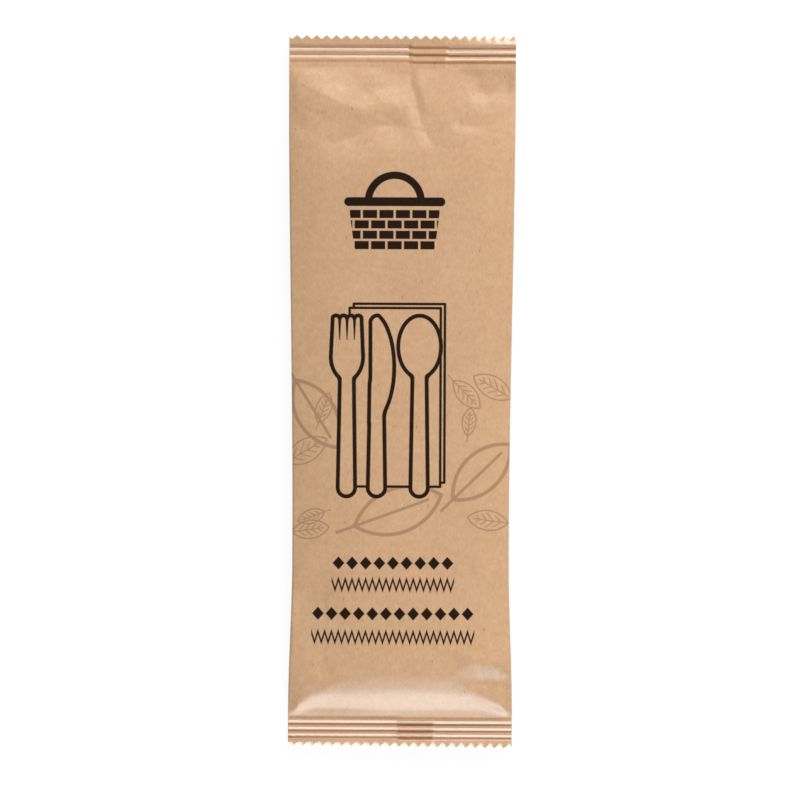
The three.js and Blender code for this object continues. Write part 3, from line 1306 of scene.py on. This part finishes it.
    def _painted_shade_and_sheen(self, x: np.ndarray, y: np.ndarray) -> np.ndarray:
        """Where the end seals get painted shade and painted sheen.

        Args:
            x: Places across the pack.
            y: Places along it.

        Returns:
            Above 0 for painted shade along the outer wall of each groove, and below 0 for painted sheen on a
            rib.
        """
        right = self._right_of_fin(x, y)
        over_fin = self._over_fin(x, y, self.fin_edge)
        # The painted shade in the grooves and the painted sheen on the ribs
        dark = np.zeros(y.shape)
        painted_sheen_total = np.zeros(y.shape)
        for end in (self.head, self.foot):
            turn = self._groove_turns(end, x, y)
            shown = mix(1, end.fin_painted_shade, over_fin)
            strengths = zip(end.painted_shade_left, end.painted_shade_right, end.painted_sheens)
            for groove, (left_painted_shade, right_painted_shade, painted_sheen_share) in enumerate(strengths):
                off = turn - groove + self.painted_shade_lead
                near = 1 - smooth(np.abs(off), np.where(off > 0, self.painted_shade_inner, self.painted_shade_outer))
                dark = np.maximum(dark, near * shown * mix(left_painted_shade, right_painted_shade, right))
                painted_sheen_total = np.maximum(painted_sheen_total, painted_sheen_share * (1 - smooth(np.abs(off - self.painted_sheen_lead), self.painted_sheen_width)))
        return np.minimum(1, dark) - painted_sheen_total * (1 - self.fin_painted_sheen_loss * over_fin)

    def _fin_root(self, y: np.ndarray) -> np.ndarray:
        """The left edge of the fin seal, which runs a little askew."""
        share = (y + self.half_length) / (2 * self.half_length)
        return mix(self.foot.fin_root, self.head.fin_root, share)

    def _over_fin(self, x: np.ndarray, y: np.ndarray, edge: float) -> np.ndarray:
        """Tells the fin seal from the paper beside it.

        Args:
            x: Places across the pack.
            y: Places along it.
            edge: The width of the change, which lies outside the fin.

        Returns:
            1 over the fin and 0 beside it.
        """
        root = self._fin_root(y)
        gap = np.maximum(np.maximum(root - x, x - root - self.fin_width), 0)
        return 1 - smooth(gap, edge)

    def _folds(self, x: np.ndarray, y: np.ndarray) -> np.ndarray:
        """The height that the creases and the ripple of the paper add to the front panel.

        Args:
            x: Places across the pack.
            y: Places along it.

        Returns:
            The added heights.
        """
        height = sum(crease.height(x, y) for crease in self.creases)
        waves = [noise.noise((px / self.ripple_length, py / self.ripple_length, 0)) for px, py in zip(x, y)]
        height = height + self.ripple * np.array(waves) + self._crumples(x, y)
        past = np.minimum(self._past(self.head, y), self._past(self.foot, y))
        inside = self._half_width(y) - np.abs(x)
        return height * smooth(past, self.crease_clear) * smooth(inside, self.crease_side_clear)

    def _crumples(self, x: np.ndarray, y: np.ndarray) -> np.ndarray:
        """Flat facets between small sharp folds, in the slack paper at the head and beside the foot.

        Args:
            x: Places across the pack.
            y: Places along it.

        Returns:
            The heights that they add.
        """
        head = self.slack_head.at(y) * (1 - self.firm_head_loss * self.firm_head.at(y))
        foot = self.slack_foot.at(-y) * self.slack_sides.at(np.abs(x)) * (1 - self.firm_foot.at(-y))
        slack = np.maximum(head, foot)
        height = np.zeros(y.shape)
        for place in np.flatnonzero(slack):
            for size, slope in self.facets:
                height[place] += slope * size * facet(x[place] / size, y[place] / size)
        return height * slack

    def _fold_radius(self, y: np.ndarray) -> np.ndarray:
        """The radius of the side folds: pressed flat in the seals and rounded over the contents."""
        return mix(self.ply, self.fold_radius, self._filled(y))

    def _fold_round(self, x: np.ndarray, y: np.ndarray) -> np.ndarray:
        """How far a panel stands from the middle of the side fold that it springs from.

        Args:
            x: Places across the pack.
            y: Places along it.

        Returns:
            The heights, from 0 to the fold's radius.
        """
        radius = self._fold_radius(y)
        share = np.clip((self._half_width(y) - np.abs(x)) / radius, 0, 1)
        return radius * np.sqrt(1 - (1 - share) ** 2)

    def _level(self, x: np.ndarray, y: np.ndarray) -> np.ndarray:
        """The height of the sheet's middle at the side folds.

        One corner of the head is buckled up, and the cut band of the foot curls up.

        Args:
            x: Places across the pack.
            y: Places along it.

        Returns:
            The heights.
        """
        seal_edge = self.half_length - self._seal_length(self.head)
        buckle = np.clip(y - self.corner_line, 0, seal_edge - self.corner_line) * self.corner_lift
        curl_edge = self.half_length - self._band(self.head)
        buckle = buckle - np.maximum(0, y - curl_edge) * self.corner_fall
        buckle = buckle * smooth(x - self.corner_start, self.corner_run)
        curl = np.maximum(0, -y - self.half_length + self._band(self.foot)) * self.foot_curl
        return mix(self.seal_level, self.side_level, self._filled(y)) + buckle + curl

    def _front(self, x: np.ndarray, y: np.ndarray) -> np.ndarray:
        """The height of the front panel.

        Args:
            x: Places across the pack.
            y: Places along it.

        Returns:
            The heights.
        """
        across = np.abs(x) / self._half_width(y)
        crown = self._hipped(self._filled(y), 1 - across**self.crown)
        rise = crown * (self.thickness - self.side_level - self.fold_radius)
        sealed = np.minimum(self._past(self.head, y), self._past(self.foot, y)) <= 0
        fin = np.where(sealed, self._over_fin(x, y, self.fin_edge), 0)
        pressed = self._grooves(x, y) + fin * self.fin_show
        return self._level(x, y) + self._fold_round(x, y) + rise + pressed + self._folds(x, y)

    def _back(self, x: np.ndarray, y: np.ndarray) -> np.ndarray:
        """The height of the back panel, with the fin seal folded flat on it.

        Args:
            x: Places across the pack.
            y: Places along it.

        Returns:
            The heights.
        """
        half = self._half_width(y)
        beyond = np.clip((np.abs(x) - self.back_flat / 2) / (half - self.back_flat / 2), 0, 1)
        belly = self._hipped(self._filled(y), 1 - beyond**2)
        drop = belly * (self.side_level - self.fold_radius)
        drape = self.fin_thickness * self._over_fin(x, y, self.fin_drape) * belly
        fin = self.fin_thickness * self._over_fin(x, y, self.fin_edge)
        return self._level(x, y) - self._fold_round(x, y) - drop + self._grooves(x, y) + drape - fin

    def _rows(self) -> np.ndarray:
        """Stations along the pack.

        Returns:
            Places from the foot's cut edge to the head's, each cut edge twice.
        """
        foot = self._rows_from(self.foot) - self.half_length
        head = self.half_length - self._rows_from(self.head)[::-1]
        steps = round((head[0] - foot[-1]) / self.body_step)
        return np.concatenate([foot, np.linspace(foot[-1], head[0], steps + 1)[1:-1], head])

    def _rows_from(self, end: SealEnd) -> np.ndarray:
        """Stations in an end's seal and in the creased paper next to it.

        Args:
            end: The end.

        Returns:
            Distances from its tooth tips, inwards.
        """
        seal = self._seal_length(end)
        in_seal = np.linspace(0, seal, round(seal / self.seal_step))
        creased = seal + np.linspace(0, end.crease_zone, round(end.crease_zone / self.crease_step))
        return np.concatenate([[0], in_seal, creased[1:]])

    def _columns(self) -> tuple[np.ndarray, np.ndarray]:
        """Places across a panel: a share of its half width and, added to it, a distance.

        Returns:
            The shares, from -1 to 1, and the distances.
        """
        turn = np.linspace(0, math.pi / 2, self.edge_columns, endpoint=False)
        edge = self.fold_radius * (1 - np.cos(turn))
        middle = np.linspace(-1, 1, self.columns - 2 * self.edge_columns + 1)
        share = np.concatenate([-np.ones(len(edge)), middle, np.ones(len(edge))])
        inset = np.concatenate([edge, -middle * self.fold_radius, -edge[::-1]])
        return share, inset

    def _teeth(self, end: SealEnd, x: np.ndarray) -> np.ndarray:
        """How far the zigzag cut, which may run a little askew, lies inside the pack's length."""
        turn = (x - end.tooth_tip) / end.tooth_pitch
        return self.tooth_depth * 2 * np.abs(turn - np.rint(turn)) + end.cut_slant * (self.high.x / MM - x)

    def _on_teeth(self, end: SealEnd, x: np.ndarray) -> np.ndarray:
        """Slides the columns of a cut edge so that one lies on each tip and root of its teeth.

        Args:
            end: The end that is cut.
            x: The columns' places, from left to right.

        Returns:
            Their new places.
        """
        step = end.tooth_pitch / 2
        first = math.ceil((x[0] - end.tooth_tip) / step + 0.5)
        last = math.floor((x[-1] - end.tooth_tip) / step - 0.5)
        marks = end.tooth_tip + step * np.arange(first, last + 1)
        nearest = [int(np.abs(x - mark).argmin()) for mark in marks]
        return np.interp(np.arange(len(x)), [0, *nearest, len(x) - 1], [x[0], *marks, x[-1]])

    def _formed(
        self,
        rows: np.ndarray,
        row: np.ndarray,
        share: np.ndarray,
        inset: np.ndarray,
        front: np.ndarray,
        place: np.ndarray,
    ) -> np.ndarray:
        """Where each vertex of the flat grid goes on the finished pack.

        Args:
            rows: The stations along the pack.
            row: Each vertex's station.
            share: Each vertex's share of the half width.
            inset: Each vertex's distance from there.
            front: Whether it lies on the front panel.
            place: Its column within its panel.

        Returns:
            The vertices' coordinates in millimetres.
        """
        y = rows[row]
        x = share * self._half_width(y) + inset
        all_share, all_inset = self._columns()
        cut_y = y.copy()
        for end in (self.head, self.foot):
            half = self._half_width(np.array([end.side * self.half_length]))[0]
            on_teeth = self._on_teeth(end, all_share * half + all_inset)
            depth = self.half_length - end.side * y
            pull = np.clip(1 - depth / self._band(end), 0, 1)
            x = mix(x, on_teeth[place], pull)
            cut_y = cut_y - end.side * pull**2 * self._teeth(end, x)
        height = np.where(front, self._front(x, y), self._back(x, y))
        pinched = (row == 0) | (row == len(rows) - 1)
        height = np.where(pinched, (self._front(x, y) + self._back(x, y)) / 2, height)
        return np.stack([x, cut_y, height], axis=1)

    def _weld(self) -> None:
        """Closes the tube down its side fold and along both cut edges."""
        bpy.ops.object.mode_set(mode="EDIT")
        bpy.ops.mesh.select_all(action="SELECT")
        bpy.ops.mesh.remove_doubles(threshold=self.weld * MM)
        bpy.ops.mesh.normals_make_consistent(inside=False)
        bpy.ops.object.mode_set(mode="OBJECT")
        bpy.ops.object.shade_smooth_by_angle(angle=math.radians(self.smooth_angle))

    @staticmethod
    def _panels(wrap: bpy.types.Object) -> None:
        """Marks which faces belong to the front panel and which to the back.

        Args:
            wrap: The wrap's mesh object.
        """
        normals = np.empty(len(wrap.data.polygons) * 3)
        wrap.data.polygons.foreach_get("normal", normals)
        facing = normals.reshape(-1, 3)[:, 2]
        slots = np.where(facing > 0, Panel.FRONT.value, Panel.BACK.value)
        wrap.data.polygons.foreach_set("material_index", slots.astype(np.int32))


@dataclass(frozen=True)
class Softbox:
    """A studio lamp with a flat front that points at the pack."""

    name: str
    azimuth: float
    elevation: float
    distance: float
    width: float
    height: float
    share: float

    def build(self) -> None:
        """Hangs the lamp and gives it its share of the light that shows a flat colour as it is written."""
        lamp = bpy.data.lights.new(self.name, "AREA")
        lamp.shape = "RECTANGLE"
        lamp.size = self.width
        lamp.size_y = self.height
        lamp.energy = self.share * math.pi**2 * self.distance**2 / math.sin(math.radians(self.elevation))
        turn, lift = math.radians(self.azimuth), math.radians(self.elevation)
        way = Vector((math.cos(turn) * math.cos(lift), math.sin(turn) * math.cos(lift), math.sin(lift)))
        holder = bpy.data.objects.new(self.name, lamp)
        holder.location = way * self.distance
        holder.rotation_euler = way.to_track_quat("Z", "Y").to_euler()
        bpy.context.scene.collection.objects.link(holder)


@dataclass
class Studio:
    """A white table, soft lamps and a camera straight above, with the sensor's width in millimetres."""

    ambient: float = 0.34
    floor_size: float = 6.0
    floor_drop: float = 0.00005
    floor_shade: float = 0.14
    floor_glow: float = 0.9
    camera_height: float = 1.2
    frame_height: float = 0.2544
    aim: Point = (-0.00038, -0.00264)
    roll: float = 0.24
    sensor: float = 36.0
    lamps: tuple[Softbox, ...] = (
        Softbox("head_lamp", azimuth=65, elevation=25, distance=1.6, width=1.5, height=0.5, share=0.48),
        Softbox("foot_lamp", azimuth=-87, elevation=26, distance=0.9, width=0.5, height=0.26, share=0.16),
        Softbox("foot_fill", azimuth=-87, elevation=50, distance=0.9, width=0.5, height=0.3, share=0.08),
    )

    def build(self) -> None:
        """Sets up the table, the lamps, the surroundings and the camera."""
        self._floor()
        self._surroundings()
        for lamp in self.lamps:
            lamp.build()
        self._camera()
        bpy.context.scene.view_settings.view_transform = "Standard"

    @staticmethod
    def _seen(tree: bpy.types.NodeTree) -> Field:
        """Tells the rays that show something to the viewer from those that only carry light.

        Args:
            tree: The material's node tree.

        Returns:
            1 for the first kind and 0 for the other.
        """
        path = tree.nodes.new("ShaderNodeLightPath").outputs
        seen = Field(tree, path["Is Camera Ray"])
        return seen.most(Field(tree, path["Is Glossy Ray"]), Field(tree, path["Is Transmission Ray"]))

    def _floor(self) -> None:
        """The table: white to the viewer where it is lit, and darker in the pack's shadow."""
        bpy.ops.object.select_all(action="DESELECT")
        bpy.ops.mesh.primitive_plane_add(size=self.floor_size, location=(0, 0, -self.floor_drop))
        floor = bpy.context.object
        floor.name = "table"
        material = bpy.data.materials.new("white_table")
        material.use_nodes = True
        tree = material.node_tree
        shader = tree.nodes["Principled BSDF"]
        shader.inputs["Base Color"].default_value = (self.floor_shade, self.floor_shade, self.floor_shade, 1)
        shader.inputs["Roughness"].default_value = 1.0
        shader.inputs["Specular IOR Level"].default_value = 0.0
        shader.inputs["Emission Color"].default_value = WHITE
        feed(shader.inputs["Emission Strength"], self._seen(tree) * self.floor_glow)
        floor.data.materials.append(material)

    def _surroundings(self) -> None:
        """A little even light from all round."""
        world = bpy.data.worlds.new("even_surroundings")
        world.use_nodes = True
        background = world.node_tree.nodes["Background"]
        background.inputs["Color"].default_value = WHITE
        background.inputs["Strength"].default_value = self.ambient
        bpy.context.scene.world = world

    def _camera(self) -> None:
        """A long lens straight above the pack, turned a little."""
        data = bpy.data.cameras.new("camera")
        data.sensor_width = self.sensor
        data.lens = self.sensor * self.camera_height / self.frame_height
        camera = bpy.data.objects.new("camera", data)
        camera.location = (*self.aim, self.camera_height)
        camera.rotation_euler = Matrix.Rotation(math.radians(self.roll), 3, "Z").to_euler()
        bpy.context.scene.collection.objects.link(camera)
        bpy.context.scene.camera = camera


def main() -> None:
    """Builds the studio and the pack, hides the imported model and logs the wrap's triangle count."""
    logging.basicConfig(level=logging.INFO, format="%(name)s: %(message)s")
    Studio().build()
    low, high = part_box(PACK_NODE)
    wrap_maker = PaperWrap(low, high)
    wrap = wrap_maker.build()
    wrap_maker.dress(wrap, KraftFinish())
    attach(wrap, "root")
    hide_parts(PACK_NODE)
    wrap.data.calc_loop_triangles()
    log.info("%s: %d triangles", wrap.name, len(wrap.data.loop_triangles))


if __name__ == "__main__":
    main()
